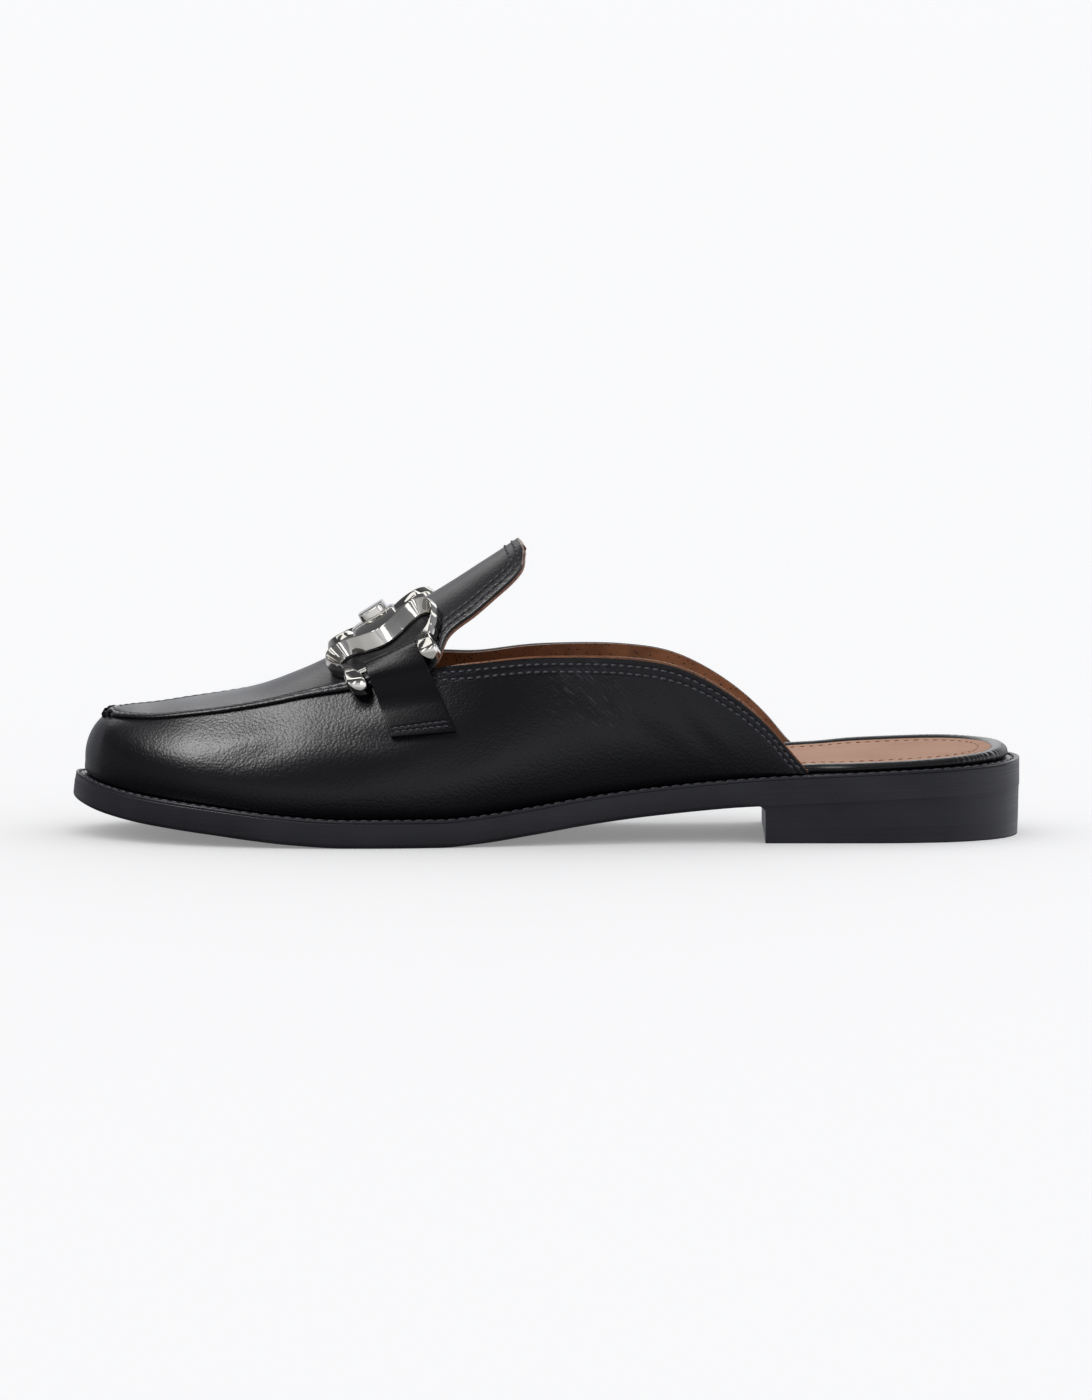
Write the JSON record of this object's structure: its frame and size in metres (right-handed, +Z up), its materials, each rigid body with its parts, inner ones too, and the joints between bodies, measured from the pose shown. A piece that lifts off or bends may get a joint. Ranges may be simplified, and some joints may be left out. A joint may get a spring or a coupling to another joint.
{
  "type": "mule",
  "caption": "Backless leather loafer with a raised apron, a free tongue, a snaffle ornament on two side tabs, a stitched welt and a low block heel.",
  "frame": {"origin": "on the floor, at the middle of the outsole's length and width", "axes": "+Z up, +X towards the heel, +Y towards the inner side of the foot"},
  "size_m": [0.2618, 0.0878, 0.0817],
  "materials": {
    "sole_rubber": "smooth satin",
    "upper_leather": "smooth polished",
    "bed_leather": "smooth polished, padded",
    "sock_leather": "matt",
    "nickel": "polished"
  },
  "bodies": {
    "root": {"outsole": "sole_rubber", "welt": "sole_rubber", "heel": "sole_rubber", "top_piece": "sole_rubber", "footbed": "bed_leather", "sock": "sock_leather", "upper": "upper_leather", "tab_outer": "upper_leather", "tab_inner": "upper_leather", "bit_link_outer": "nickel", "bit_link_inner": "nickel", "bit_bridge": "nickel"}
  },
  "joints": []
}
